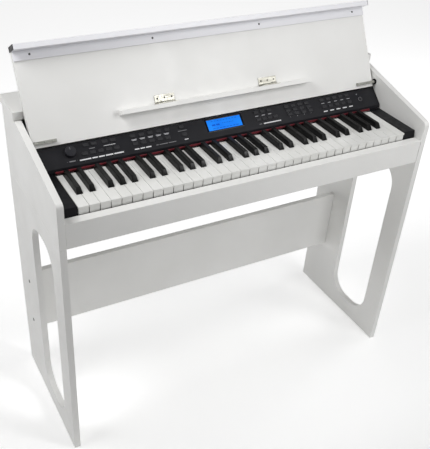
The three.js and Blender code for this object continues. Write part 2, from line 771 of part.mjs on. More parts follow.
function buildKeyboardUnit() {
  place(piano, "keyboard_case", keyboardCase(), black);
  for (const [name, side] of sides) {
    place(piano, `end_block_${name}`, endBlock(side), black);
  }
  const feltRear = panelFrontY - GAP;
  const feltBottom = panelFootZ - GAP;
  place(piano, "felt_strip", block(-keyboardHalf, keyboardHalf, feltRear - feltDepth, feltRear,
    feltBottom, feltBottom + feltHeight), felt);
  place(panel, "control_panel", controlPanel(), black);
  buttonBanks.forEach((bank) => place(panel, bank.name, buttonBank(bank), grey));
  place(panel, "power_button", powerButton(), grey);
  place(panel, "volume_knob", volumeKnob(), grey);
  place(panel, "display_window", displayBox(0, -displayThickness - GAP, -GAP), blue);
  const moduleTop = -panelWall - GAP;
  place(panel, "display_module", displayBox(EDGE, moduleTop - moduleThickness, moduleTop), black);
  const circuitHalf = unitHalf - circuitEndMargin;
  place(panel, "circuit_board", block(-circuitHalf, circuitHalf, circuitMargin,
    panelSlopeLength - circuitMargin, -circuitDepth - circuitThickness, -circuitDepth), green);
}

// ---------------------------------------------------------------- behind the keyboard unit
// A small speaker that fires down through the bed: frame, cone recess and magnet.
function speaker(side) {
  const seat = bedTop + GAP;
  const profile = [
    [0, speakerConeDepth],
    [speakerDustCapRadius, speakerConeDepth],
    [speakerConeRadius, 0],
    [speakerRadius, 0],
    [speakerRadius, speakerRimHeight],
    [speakerMagnetRadius, speakerMagnetStart],
    [speakerMagnetRadius, speakerHeight],
    [0, speakerHeight],
  ].map(([r, z]) => new THREE.Vector2(r, z));
  return solid(new THREE.LatheGeometry(profile, 32).rotateX(Math.PI / 2)
    .translate(side * speakerX, speakerY, seat));
}

// The low-voltage inlet: a plate in the back panel with its socket.
function powerInlet() {
  const rear = sideDepth - GAP;
  const plate = block(inletX - inletWidth / 2, inletX + inletWidth / 2, rear - boardThickness, rear,
    inletZ - inletHeight / 2, inletZ + inletHeight / 2);
  const socket = new THREE.CylinderGeometry(inletSocketRadius, inletSocketRadius, 2 * inletSocketDepth, 20);
  return plate.subtract(solid(socket.translate(inletX, rear, inletZ)));
}

function buildRear() {
  for (const [name, side] of sides) {
    place(piano, `speaker_${name}`, speaker(side), black);
  }
  place(piano, "power_inlet", powerInlet(), black);
}

buildCabinet();
buildLid();
buildMusicLedge();
buildKeys();
buildKeyboardUnit();
buildRear();

export default piano;
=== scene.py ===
"""The looks of a white digital piano on its stand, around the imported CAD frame. Metres, +Z up."""

import math

import bmesh
import bpy
from mathutils import Matrix, Vector, noise


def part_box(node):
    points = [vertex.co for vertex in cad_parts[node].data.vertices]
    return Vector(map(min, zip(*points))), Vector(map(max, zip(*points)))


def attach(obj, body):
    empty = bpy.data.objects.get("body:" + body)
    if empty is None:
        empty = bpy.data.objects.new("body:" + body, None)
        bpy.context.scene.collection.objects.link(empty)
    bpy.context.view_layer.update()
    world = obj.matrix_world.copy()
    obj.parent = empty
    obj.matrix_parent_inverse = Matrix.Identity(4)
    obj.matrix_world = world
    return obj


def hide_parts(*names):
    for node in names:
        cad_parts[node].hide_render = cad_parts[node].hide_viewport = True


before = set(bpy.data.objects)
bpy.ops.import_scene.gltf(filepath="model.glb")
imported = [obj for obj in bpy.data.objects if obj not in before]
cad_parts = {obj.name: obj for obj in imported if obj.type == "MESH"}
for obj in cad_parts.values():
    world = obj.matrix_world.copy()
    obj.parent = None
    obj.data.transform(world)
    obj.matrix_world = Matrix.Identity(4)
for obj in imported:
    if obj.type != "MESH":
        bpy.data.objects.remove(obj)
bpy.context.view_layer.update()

# ---------------------------------------------------------------- sizes
MM = 0.001

# the camera: its place in metres, its angles in radians and its lens in millimetres
EYE = Vector((-0.79853, -1.28968, 1.45669))
AZIMUTH = 0.52778
ELEVATION = 0.62039
ROLL = 0.06463
LENS = 56.81
SHIFT_X = 0.0304
SHIFT_Y = 0.0373

# the floor's half width, its glow at places along Y, and the world's light
STAGE_HALF = 40
STAGE_GLOW = ((-8, 0.36), (-3, 0.09), (-0.9, 0), (0.9, 0.78))
WORLD_LIGHT = 0.08

# each light: name, place, what it points at, the side of its square, power in watts
LIGHTS = (
    ("key_light", (0.9, -1.2, 2.0), (0.2, 0, 0.6), 0.8, 9.8),
    ("near_light", (0.45, -1, 1.2), (0.25, -0.18, 0.65), 0.3, 3.6),
    ("cheek_light", (-0.35, -0.45, 1.35), (0.47, -0.05, 0.68), 0.3, 0.8),
    ("left_light", (-1.5, 0.1, 1.5), (-0.2, 0, 0.6), 0.8, 3),
    ("high_left_light", (-1, 0, 1.9), (0.47, -0.05, 0.7), 0.6, 11.6),
    ("right_light", (2.5, -0.2, 1.2), (0, 0, 0.5), 1.5, 16.4),
)

# how CAD nodes are cleaned, and the angle from which an edge is rounded
WELD_REACH = 0.01 * MM
FLAT_ANGLE = math.radians(1)
SHARP_ANGLE = math.radians(35)

# the part of the noise's range over which a tone or a polish drifts
DRIFT_LOW = 0.35
DRIFT_HIGH = 0.65

# the CAD's gap between pieces that touch, in millimetres
GAP = 0.3

# the keyboard. One octave's keys and the top C are bodies of their own, and the others move in two
# groups for each octave, white and black.
CABINET_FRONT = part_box("leg_left")[0].y
WHITE_PITCH = 23.5 * MM
WHITE_COUNT = 36
KEY_SLIT = 0.9 * MM
KEYBOARD_LEFT = -WHITE_PITCH * WHITE_COUNT / 2
WHITE_NAMES = ("c", "d", "e", "f", "g", "a", "b")
# each black key: name, the white key at its left, its offset from the slit in millimetres
BLACK_KEYS = (
    ("c_sharp", 0, -2.4),
    ("d_sharp", 1, 2.4),
    ("f_sharp", 3, -3.4),
    ("g_sharp", 4, 0),
    ("a_sharp", 5, 3.4),
)
SINGLE_OCTAVE = 2
WHITE_LOW, WHITE_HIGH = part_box("key_top_c")
BLACK_LOW, BLACK_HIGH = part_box("key_g_sharp")
WHITE_END = CABINET_FRONT + 157.7 * MM
BLACK_END = WHITE_END - 1 * MM
WHITE_BOTTOM = WHITE_HIGH.z - 18 * MM
TAIL_TOP = WHITE_HIGH.z - 4.5 * MM
LIP_HEIGHT = 4.4 * MM
LIP_DEPTH = 1.3 * MM
SKIRT_INSET = 0.55 * MM
BLACK_BASE = 13.4 * MM
BLACK_TOP = 10.2 * MM
BLACK_LEAN = 7 * MM
NOTCH_DEPTH = 2 * MM

# the control panel's frame: +X across, +Y up the slope, +Z out of it. Sizes in it are in millimetres.
PANEL_SLOPE = math.radians(41)
PANEL_FOOT = Vector((0, CABINET_FRONT + 166.82 * MM, 693.4 * MM))
PANEL = Matrix.Translation(PANEL_FOOT) @ Matrix.Rotation(PANEL_SLOPE, 4, "X")
BUTTON_WIDTH = 12.5
BUTTON_HEIGHT = 8
BUTTON_CORNER = 1.5
BUTTON_LIFT = 2
WEB_DEPTH = 3.85
# the rows of each bank: height up the slope, x of the first button, pitch, count
BANKS = {
    "buttons_mode": ((41, -341.5, 18.4, 2), (41, -297, 18.4, 2), (22, -348.5, 18.4, 5)),
    "buttons_style": ((41, -231, 21, 5), (22, -230, 20, 5)),
    "buttons_tempo": ((41, -110, 0, 1), (22, -108, 0, 1)),
    "buttons_song": ((41, 92, 18.6, 3), (22, 94, 15.8, 4)),
    "buttons_number": ((41, 180, 20, 4), (30.5, 181.5, 20.5, 4), (20, 183.5, 20.5, 4)),
    "buttons_record": ((41, 287.5, 19.7, 5), (22, 289, 19.9, 5)),
}
# the middles of the power button, its lamp, the volume knob and the display: x, height up the slope
POWER = (405, 24)
POWER_LAMP = (398.7, 38.3)
KNOB = (-380, 31)
DISPLAY = (2, 30.3)
POWER_RADIUS = 4
POWER_RING = 5.3
KNOB_RADIUS = 12.9
KNOB_HEIGHT = 9.5
KNOB_RIBS = 36
DISPLAY_SIZE = (91, 26.6)
# the rows of the display's segments: height up the slope, width, gap, height, count, first x from its middle
SEGMENTS = (
    (39.5, 5, 3, 1.5, 9, -34),
    (31.5, 3, 1.6, 1.5, 7, -6),
    (29.8, 9, 2.5, 4, 2, -34),
    (21.2, 6.5, 2.5, 1.5, 8, -34),
)
# printed marks fill the space between these heights above the panel
MARK_HEIGHTS = (0.02, 0.1)

# the lid's frame: the hinge is the origin, -Y runs to the free edge, the inner face is at +Z LID_INNER.
# Sizes in it are in millimetres.
LID_LEAN = math.radians(29)
LID_PIVOT = Vector((0, CABINET_FRONT + 203 * MM, 741.9 * MM))
LID = Matrix.Translation(LID_PIVOT) @ Matrix.Rotation(-math.pi / 2 - LID_LEAN, 4, "X")
LID_INNER = 4.5
LID_HALF = 455.5
LID_THICKNESS = 15
LID_BOARD = 201.7
LID_OVERHANG = 10.5
LIP_THICKNESS = 12
LIP_DROP = 25
FLANGE_THICKNESS = 2.5
FLANGE_SCREW_Y = -182.5
FLANGE_SCREWS = (-420, -140, 140, 420)
BAR_THICKNESS = 8.4
BAR_LENGTH = 52
LEAF_THICKNESS = 1.2
LEAF_OFFSET = 138
LEAF_SCREW_Y = -50
FLAP_SCREW_Y = -38.5
FLAP_SCREW_Z = -9.5
HINGE_SCREWS = (-18, 0, 18)
# the thickness of the black caps of painted shade on the ends of the lid's strip
END_SHADE_THICKNESS = 1

# the modesty panel's bolts: heights, distance behind the cabinet's front, distance from the middle
BOLT_HEIGHTS = (324, 197)
BOLT_BACK = 282
BOLT_SIDE = 475

# the felt strip
FELT_CORNER = 1.2 * MM
FELT_SWELL = 0.25 * MM
FELT_CELL = 6 * MM
FELT_SINK = 0.2 * MM
FELT_STEPS = 220


# ---------------------------------------------------------------- camera
def make_camera():
    """The fitted viewpoint: azimuth from +Y towards +X, elevation above the horizon, and a small roll."""
    forward = Vector((
        math.sin(AZIMUTH) * math.cos(ELEVATION),
        math.cos(AZIMUTH) * math.cos(ELEVATION),
        -math.sin(ELEVATION),
    ))
    level = Vector((math.cos(AZIMUTH), -math.sin(AZIMUTH), 0))
    up = level.cross(forward)
    right = math.cos(ROLL) * level + math.sin(ROLL) * up
    top = math.cos(ROLL) * up - math.sin(ROLL) * level
    data = bpy.data.cameras.new("camera")
    data.lens = LENS
    data.shift_x = SHIFT_X
    data.shift_y = SHIFT_Y
    camera = bpy.data.objects.new("camera", data)
    bpy.context.scene.collection.objects.link(camera)
    turn = Matrix((right, top, -forward)).transposed().to_4x4()
    camera.matrix_world = Matrix.Translation(EYE) @ turn
    bpy.context.scene.camera = camera


# ---------------------------------------------------------------- materials
def plain(name, color, roughness, **extra):
    """A Principled material. The keys of extra are socket names with _ for a space."""
    material = bpy.data.materials.new(name)
    material.use_nodes = True
    shader = material.node_tree.nodes["Principled BSDF"]
    shader.inputs["Base Color"].default_value = (*color, 1)
    shader.inputs["Roughness"].default_value = roughness
    for socket, value in extra.items():
        shader.inputs[socket.replace("_", " ")].default_value = value
    return material


def noise_node(material, cell, detail=3.0, stretch=(1, 1, 1)):
    """Noise in the piece's own coordinates, with cells of about this size in metres."""
    tree = material.node_tree
    place = tree.nodes.new("ShaderNodeTexCoord")
    mapping = tree.nodes.new("ShaderNodeMapping")
    mapping.inputs["Scale"].default_value = stretch
    texture = tree.nodes.new("ShaderNodeTexNoise")
    texture.inputs["Scale"].default_value = 1 / cell
    texture.inputs["Detail"].default_value = detail
    tree.links.new(place.outputs["Object"], mapping.inputs["Vector"])
    tree.links.new(mapping.outputs["Vector"], texture.inputs["Vector"])
    return texture.outputs["Fac"]


def shade(material, cell, dark, light, stretch=(1, 1, 1)):
    """The base colour drifts between two tones."""
    tree = material.node_tree
    ramp = tree.nodes.new("ShaderNodeValToRGB")
    ramp.color_ramp.elements[0].position = DRIFT_LOW
    ramp.color_ramp.elements[0].color = (*dark, 1)
    ramp.color_ramp.elements[1].position = DRIFT_HIGH
    ramp.color_ramp.elements[1].color = (*light, 1)
    tree.links.new(noise_node(material, cell, stretch=stretch), ramp.inputs["Fac"])
    tree.links.new(ramp.outputs["Color"], tree.nodes["Principled BSDF"].inputs["Base Color"])


def polish(material, cell, smooth, rough, stretch=(1, 1, 1)):
    """The roughness drifts between two values."""
    tree = material.node_tree
    spread = tree.nodes.new("ShaderNodeMapRange")
    spread.inputs["From Min"].default_value = DRIFT_LOW
    spread.inputs["From Max"].default_value = DRIFT_HIGH
    spread.inputs["To Min"].default_value = smooth
    spread.inputs["To Max"].default_value = rough
    tree.links.new(noise_node(material, cell, stretch=stretch), spread.inputs["Value"])
    tree.links.new(spread.outputs["Result"], tree.nodes["Principled BSDF"].inputs["Roughness"])


def relief(material, cell, depth, strength, stretch=(1, 1, 1)):
    """A fine bump over whatever bump the material already has."""
    tree = material.node_tree
    normal = tree.nodes["Principled BSDF"].inputs["Normal"]
    bump = tree.nodes.new("ShaderNodeBump")
    bump.inputs["Distance"].default_value = depth
    bump.inputs["Strength"].default_value = strength
    if normal.is_linked:
        tree.links.new(normal.links[0].from_socket, bump.inputs["Normal"])
    tree.links.new(noise_node(material, cell, detail=6, stretch=stretch), bump.inputs["Height"])
    tree.links.new(bump.outputs["Normal"], normal)


def laminate():
    """Satin white melamine: a slight drift in tone, a soft pebble and a few duller patches."""
    material = plain("white_laminate", (0.8, 0.8, 0.79), 0.42)
    shade(material, 180 * MM, (0.785, 0.782, 0.763), (0.825, 0.822, 0.806))
    polish(material, 35 * MM, 0.36, 0.48)
    relief(material, 6 * MM, 0.05 * MM, 0.15)
    relief(material, 0.9 * MM, 0.03 * MM, 0.25)
    return material


def extruded_white():
    """The lid's front strip: cool white plastic with faint draw lines along its length."""
    material = plain("white_plastic", (0.8, 0.8, 0.83), 0.36)
    shade(material, 60 * MM, (0.79, 0.79, 0.825), (0.82, 0.82, 0.85), stretch=(0.05, 1, 1))
    relief(material, 0.8 * MM, 0.03 * MM, 0.25, stretch=(0.02, 1, 1))
    return material


def metal(name, dark, light, roughness):
    """Drawn metal with faint streaks along its length."""
    material = plain(name, light, roughness, Metallic=1.0)
    shade(material, 4 * MM, dark, light, stretch=(0.15, 1, 1))
    polish(material, 3 * MM, roughness - 0.08, roughness + 0.1)
    relief(material, 0.5 * MM, 0.02 * MM, 0.3, stretch=(0.1, 1, 1))
    return material


def textured_plastic(name, color, roughness, grain=0.45 * MM, strength=0.5, shine=0.3):
    """Moulded plastic with a spark-eroded grain and slightly polished high spots."""
    material = plain(name, color, roughness, Specular_IOR_Level=shine)
    light = tuple(1.25 * c for c in color)
    shade(material, 30 * MM, color, light)
    polish(material, 12 * MM, roughness - 0.06, roughness + 0.08)
    relief(material, grain, 0.05 * MM, strength)
    return material


def key_white():
    """Glossy acrylic with a slight drift in tone and polish."""
    material = plain("white_key", (0.83, 0.83, 0.8), 0.16, Coat_Weight=0.4, Coat_Roughness=0.06)
    shade(material, 70 * MM, (0.74, 0.74, 0.715), (0.8, 0.8, 0.78))
    polish(material, 18 * MM, 0.12, 0.22)
    relief(material, 5 * MM, 0.03 * MM, 0.12)
    return material


def key_black():
    """Matt black plastic with a grain along the key."""
    material = plain("black_key", (0.006, 0.006, 0.006), 0.34, Specular_IOR_Level=0.22)
    shade(material, 12 * MM, (0.003, 0.003, 0.003), (0.011, 0.011, 0.011), stretch=(1, 0.2, 1))
    polish(material, 8 * MM, 0.28, 0.42, stretch=(1, 0.3, 1))
    relief(material, 0.6 * MM, 0.04 * MM, 0.35, stretch=(1, 0.15, 1))
    return material


def felt():
    """Deep red wool."""
    material = plain("felt", (0.2, 0.004, 0.015), 0.95, Sheen_Weight=0.1, Sheen_Roughness=0.4)
    shade(material, 2 * MM, (0.06, 0.001, 0.004), (0.15, 0.003, 0.012))
    relief(material, 0.5 * MM, 0.3 * MM, 0.8)
    return material


def lcd_glow(name, dim, bright):
    """A backlit blue, a little brighter in patches."""
    material = plain(name, (0.002, 0.012, 0.05), 0.2, Emission_Strength=1.0, Specular_IOR_Level=0.2)
    tree = material.node_tree
    ramp = tree.nodes.new("ShaderNodeValToRGB")
    ramp.color_ramp.elements[0].position = 0.3
    ramp.color_ramp.elements[0].color = (*dim, 1)
    ramp.color_ramp.elements[1].position = 0.75
    ramp.color_ramp.elements[1].color = (*bright, 1)
    tree.links.new(noise_node(material, 40 * MM, detail=1), ramp.inputs["Fac"])
    tree.links.new(ramp.outputs["Color"], tree.nodes["Principled BSDF"].inputs["Emission Color"])
    return material


def circuit_green():
    """Solder mask over a maze of copper tracks."""
    material = plain("circuit_board", (0.02, 0.16, 0.08), 0.35)
    tree = material.node_tree
    place = tree.nodes.new("ShaderNodeTexCoord")
    tracks = tree.nodes.new("ShaderNodeTexBrick")
    tracks.inputs["Scale"].default_value = 60
    tracks.inputs["Color1"].default_value = (0.015, 0.13, 0.06, 1)
    tracks.inputs["Color2"].default_value = (0.02, 0.17, 0.08, 1)
    tracks.inputs["Mortar"].default_value = (0.05, 0.32, 0.14, 1)
    tree.links.new(place.outputs["Object"], tracks.inputs["Vector"])
    tree.links.new(tracks.outputs["Color"], tree.nodes["Principled BSDF"].inputs["Base Color"])
    relief(material, 2 * MM, 0.05 * MM, 0.3)
    return material


def ink(name, color):
    """Screen-printed marks, slightly uneven."""
    material = plain(name, color, 0.5)
    shade(material, 1.5 * MM, tuple(0.85 * c for c in color), color)
    return material


def stage_white():
    """Pale paper that glows a little, and more so towards the back."""
    material = plain("stage", (0.93, 0.93, 0.93), 0.9, Emission_Color=(1, 1, 1, 1))
    tree = material.node_tree
    place = tree.nodes.new("ShaderNodeTexCoord")
    split = tree.nodes.new("ShaderNodeSeparateXYZ")
    spread = tree.nodes.new("ShaderNodeMapRange")
    first, last = STAGE_GLOW[0][0], STAGE_GLOW[-1][0]
    spread.inputs["From Min"].default_value = first
    spread.inputs["From Max"].default_value = last
    ramp = tree.nodes.new("ShaderNodeValToRGB")
    stops = ramp.color_ramp.elements
    while len(stops) < len(STAGE_GLOW):
        stops.new(0.5)
    for stop, (y, glow) in zip(stops, STAGE_GLOW):
        stop.position = (y - first) / (last - first)
        stop.color = (glow, glow, glow, 1)
    tree.links.new(place.outputs["Object"], split.inputs["Vector"])
    tree.links.new(split.outputs["Y"], spread.inputs["Value"])
    tree.links.new(spread.outputs["Result"], ramp.inputs["Fac"])
    tree.links.new(ramp.outputs["Color"], tree.nodes["Principled BSDF"].inputs["Emission Strength"])
    relief(material, 20 * MM, 0.2 * MM, 0.1)
    return material


LAMINATE = laminate()
STRIP = extruded_white()
STEEL = metal("steel", (0.32, 0.32, 0.29), (0.5, 0.5, 0.46), 0.36)
BRASS = metal("hinge_brass", (0.34, 0.33, 0.29), (0.54, 0.53, 0.47), 0.42)
DARK_SCREW = metal("dark_screw", (0.06, 0.06, 0.06), (0.14, 0.14, 0.13), 0.4)
BLACK = textured_plastic("black_plastic", (0.005, 0.005, 0.0065), 0.4, shine=0.2)
PANEL_BLACK = textured_plastic("panel_black", (0.009, 0.009, 0.0115), 0.4, shine=0.25)
GLOSS_BLACK = textured_plastic("gloss_black", (0.003, 0.003, 0.005), 0.18, strength=0.1)
GREY = textured_plastic("button_grey", (0.02, 0.02, 0.023), 0.5)
KNOB_GREY = textured_plastic("knob_grey", (0.014, 0.014, 0.018), 0.45)
CONE = textured_plastic("speaker", (0.02, 0.02, 0.02), 0.8, grain=1.5 * MM)
KEY_WHITE = key_white()
KEY_BLACK = key_black()
FELT = felt()
GLOW = lcd_glow("display_blue", (0.005, 0.18, 0.86), (0.012, 0.26, 0.96))
CIRCUIT = circuit_green()
WHITE_INK = ink("white_ink", (0.78, 0.78, 0.8))
PALE_INK = ink("pale_ink", (0.42, 0.42, 0.44))
GREY_INK = ink("grey_ink", (0.2, 0.2, 0.21))
BLUE_INK = lcd_glow("display_ink", (0.003, 0.075, 0.5), (0.004, 0.1, 0.6))
LAMP = ink("lamp", (0.35, 0.37, 0.4))


# ---------------------------------------------------------------- meshes
def soften(obj, width, segments=2):
    """Rounds the hard edges and evens the shading."""
    bevel = obj.modifiers.new("edges", "BEVEL")
    bevel.width = width
    bevel.segments = segments
    bevel.limit_method = "ANGLE"
    bevel.angle_limit = SHARP_ANGLE
    obj.modifiers.new("shading", "WEIGHTED_NORMAL").keep_sharp = True


def dress(node, material, edge):
    """A CAD node that keeps its shape gets its finish and rounded edges."""
    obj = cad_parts[node]
    obj.material_slots[0].material = material
    obj.modifiers.new("join", "WELD").merge_threshold = WELD_REACH
    flat = obj.modifiers.new("faces", "DECIMATE")
    flat.decimate_type = "DISSOLVE"
    flat.angle_limit = FLAT_ANGLE
    soften(obj, edge)


def piece(name, bm, material, body, nodes=(), edge=0.0, place=None):
    """Makes an object of a bmesh, puts it in its frame and gives it to a CAD body."""
    bmesh.ops.recalc_face_normals(bm, faces=bm.faces)
    mesh = bpy.data.meshes.new(name)
    bm.to_mesh(mesh)
    bm.free()
    mesh.materials.append(material)
    mesh.shade_smooth()
    obj = bpy.data.objects.new(name, mesh)
    bpy.context.scene.collection.objects.link(obj)
    if place is not None:
        obj.matrix_world = place
    if edge:
        soften(obj, edge)
    else:
        obj.modifiers.new("shading", "WEIGHTED_NORMAL").keep_sharp = True
    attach(obj, body)
    if nodes:
        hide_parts(*nodes)
    return obj


def tower(bm, loops):
    """A closed body through loops of equal length, from the first to the last."""
    rings = [[bm.verts.new(point) for point in loop] for loop in loops]
    for low, high in zip(rings, rings[1:]):
        for i in range(len(low)):
            j = (i + 1) % len(low)
            bm.faces.new((low[i], low[j], high[j], high[i]))
    bm.faces.new(rings[0][::-1])
    bm.faces.new(rings[-1])


def circle(radius, z, count=24, centre=(0, 0)):
    """A level loop of points, anticlockwise."""
    loop = []
    for i in range(count):
        turn = i * (math.tau / count)
        loop.append(Vector((centre[0] + radius * math.cos(turn), centre[1] + radius * math.sin(turn), z)))
    return loop


def rounded(width, height, radius, z, centre=(0, 0), steps=3):
    """A rounded rectangle, anticlockwise from its lower right corner."""
    points = []
    corners = ((1, -1, -90), (1, 1, 0), (-1, 1, 90), (-1, -1, 180))
    for side_x, side_y, start in corners:
        x = centre[0] + side_x * (width / 2 - radius)
        y = centre[1] + side_y * (height / 2 - radius)
        for i in range(steps + 1):
            angle = math.radians(start + 90 * i / steps)
            points.append(Vector((x + radius * math.cos(angle), y + radius * math.sin(angle), z)))
    return points


def mm_tower(bm, loops):
    """A tower through loops in millimetres."""
    tower(bm, [[point * MM for point in loop] for loop in loops])


# ---------------------------------------------------------------- keys
def closed_key(bm, outline, levels, rear, tail):
    """A prism through outlines at several heights, whose rear face carries a tail.

    outline holds the points at each level, rear the index of the rear edge's first point, and tail
    the two levels that the tail lies between and its far end.
    """
    count = len(outline[0])
    grid = [[bm.verts.new((x, y, z)) for x, y in loop] for loop, z in zip(outline, levels)]
    low, high, end = tail
    for k in range(len(levels) - 1):
        for i in range(count):
            j = (i + 1) % count
            if i == rear and k == low:
                continue
            bm.faces.new((grid[k][i], grid[k][j], grid[k + 1][j], grid[k + 1][i]))
    bm.faces.new(grid[0][::-1])
    bm.faces.new(grid[-1])
    ring = [grid[low][rear], grid[low][rear + 1], grid[high][rear + 1], grid[high][rear]]
    far = [bm.verts.new((v.co.x, end, v.co.z)) for v in ring]
    for i in range(4):
        j = (i + 1) % 4
        bm.faces.new((ring[j], ring[i], far[i], far[j]))
    bm.faces.new(far)


def white_outline(x0, x1, front, notches):
    """The top of a white key, with a notch for each black neighbour, anticlockwise."""
    left, right = notches
    shoulder = BLACK_LOW.y - NOTCH_DEPTH
    x_right = x1 if right is None else right
    x_left = x0 if left is None else left
    points = [(x0, front), (x1, front)]
    points += [(x1, shoulder), (x_right, shoulder)] if right is not None else [(x1, shoulder)]
    rear = len(points)
    points += [(x_right, WHITE_END), (x_left, WHITE_END)]
    points += [(x_left, shoulder), (x0, shoulder)] if left is not None else [(x0, shoulder)]
    return points, rear


def black_centre(octave, after, offset):
    """The middle of the black key that follows a white key of an octave."""
    return KEYBOARD_LEFT + (octave * 7 + after + 1) * WHITE_PITCH + offset * MM


def white_key(index):
    """A white key: a narrower skirt under an overhanging top, notched for its black neighbours."""
    octave, step = divmod(index, 7)
    x0 = KEYBOARD_LEFT + index * WHITE_PITCH + KEY_SLIT / 2
    x1 = x0 + WHITE_PITCH - KEY_SLIT
    left = right = None
    for _, after, offset in BLACK_KEYS:
        reach = BLACK_BASE / 2 + KEY_SLIT
        if index < WHITE_COUNT - 1 and after == step:
            right = black_centre(octave, after, offset) - reach
        if index < WHITE_COUNT - 1 and after == step - 1:
            left = black_centre(octave, after, offset) + reach
    front = WHITE_LOW.y
    skirt, rear = white_outline(x0 + SKIRT_INSET, x1 - SKIRT_INSET, front + LIP_DEPTH, (left, right))
    top, _ = white_outline(x0, x1, front, (left, right))
    lip_base = WHITE_HIGH.z - LIP_HEIGHT
    levels = (WHITE_BOTTOM, WHITE_BOTTOM + 1 * MM, TAIL_TOP, lip_base, lip_base, WHITE_HIGH.z)
    bm = bmesh.new()
    closed_key(bm, (skirt, skirt, skirt, skirt, top, top), levels, rear, (1, 2, WHITE_HIGH.y))
    node = white_node(index)
    piece(f"white_key_{index + 1:02d}", bm, KEY_WHITE, node, (node,), edge=0.7 * MM)


def white_node(index):
    """The CAD node that a white key belongs to."""
    octave, step = divmod(index, 7)
    if index == WHITE_COUNT - 1:
        return "key_top_c"
    return f"key_{WHITE_NAMES[step]}" if octave == SINGLE_OCTAVE else f"white_keys_octave_{octave + 1}"


def black_rectangle(centre, width, front):
    """The level outline of a black key."""
    left, right = centre - width / 2, centre + width / 2
    return [(left, front), (right, front), (right, BLACK_END), (left, BLACK_END)]


def black_key(octave, number):
    """A black key, whose sides and front lean in towards the top."""
    name, after, offset = BLACK_KEYS[number]
    centre = black_centre(octave, after, offset)
    base = black_rectangle(centre, BLACK_BASE, BLACK_LOW.y)
    top = black_rectangle(centre, BLACK_TOP, BLACK_LOW.y + BLACK_LEAN)
    levels = (BLACK_LOW.z, TAIL_TOP, WHITE_HIGH.z + 0.3 * MM, BLACK_HIGH.z)
    bm = bmesh.new()
    closed_key(bm, (base, base, base, top), levels, 2, (0, 1, BLACK_HIGH.y))
    node = f"key_{name}" if octave == SINGLE_OCTAVE else f"black_keys_octave_{octave + 1}"
    label = f"black_key_{octave * len(BLACK_KEYS) + number + 1:02d}"
    piece(label, bm, KEY_BLACK, node, (node,), edge=1.3 * MM)


def make_keys():
    """All 36 white and 25 black keys."""
    for index in range(WHITE_COUNT):
        white_key(index)
    for octave in range(WHITE_COUNT // 7):
        for number in range(len(BLACK_KEYS)):
            black_key(octave, number)


# ---------------------------------------------------------------- controls
def button(name, x, along, body):
    """A soft-cornered cap with a slightly crowned top. Its profile is inset, height."""
    profile = (
        (0, -WEB_DEPTH),
        (0, BUTTON_LIFT - 0.7),
        (0.35, BUTTON_LIFT - 0.25),
        (1, BUTTON_LIFT - 0.05),
        (2.2, BUTTON_LIFT),
    )
    loops = []
    for inset, z in profile:
        corner = max(BUTTON_CORNER - inset / 2, 0.5)
        loops.append(rounded(BUTTON_WIDTH - 2 * inset, BUTTON_HEIGHT - 2 * inset, corner, z, (x, along)))
    bm = bmesh.new()
    mm_tower(bm, loops)
    piece(name, bm, GREY, body, (body,), place=PANEL)


def make_buttons():
    """Every bank's buttons, row by row."""
    for bank, rows in BANKS.items():
        number = 0
        for along, first, pitch, count in rows:
            for i in range(count):
                number += 1
                button(f"{bank}_{number:02d}", first + i * pitch, along, bank)


def make_power_button():
    """A round cap with a dished top, and the printed ring around it."""
    profile = (
        (POWER_RADIUS, -WEB_DEPTH),
        (POWER_RADIUS, 1.4),
        (POWER_RADIUS - 0.5, 1.9),
        (2.6, 1.75),
        (1.6, 1.5),
    )
    bm = bmesh.new()
    mm_tower(bm, [circle(radius, z, 32, POWER) for radius, z in profile])
    piece("power_cap", bm, GREY, "power_button", ("power_button",), place=PANEL)
    bm = bmesh.new()
    torus(bm, POWER, POWER_RING, 0.45, 0.25)
    piece("power_ring", bm, GREY_INK, "cabinet", place=PANEL)


def torus(bm, centre, radius, thickness, z, count=40, sides=8):
    """A ring round a centre, in millimetres."""
    rings = []
    for i in range(count):
        turn = math.tau * i / count
        ring = []
        for k in range(sides):
            lift = math.tau * k / sides
            reach = radius + thickness * math.cos(lift)
            point = Vector((centre[0] + reach * math.cos(turn), centre[1] + reach * math.sin(turn),
                            z + thickness * math.sin(lift)))
            ring.append(bm.verts.new(point * MM))
        rings.append(ring)
    for i in range(count):
        near, far = rings[i], rings[(i + 1) % count]
        for k in range(sides):
            n = (k + 1) % sides
            bm.faces.new((near[k], far[k], far[n], near[n]))


def ribbed(radius, z, depth):
    """A level loop round the knob's middle, with ribs cut this deep into it."""
    count = KNOB_RIBS * 4
    loop = []
    for i in range(count):
        turn = math.tau * i / count
        reach = radius - depth * (0.5 - 0.5 * math.cos(KNOB_RIBS * turn))
        loop.append(Vector((KNOB[0] + reach * math.cos(turn), KNOB[1] + reach * math.sin(turn), z)))
    return loop


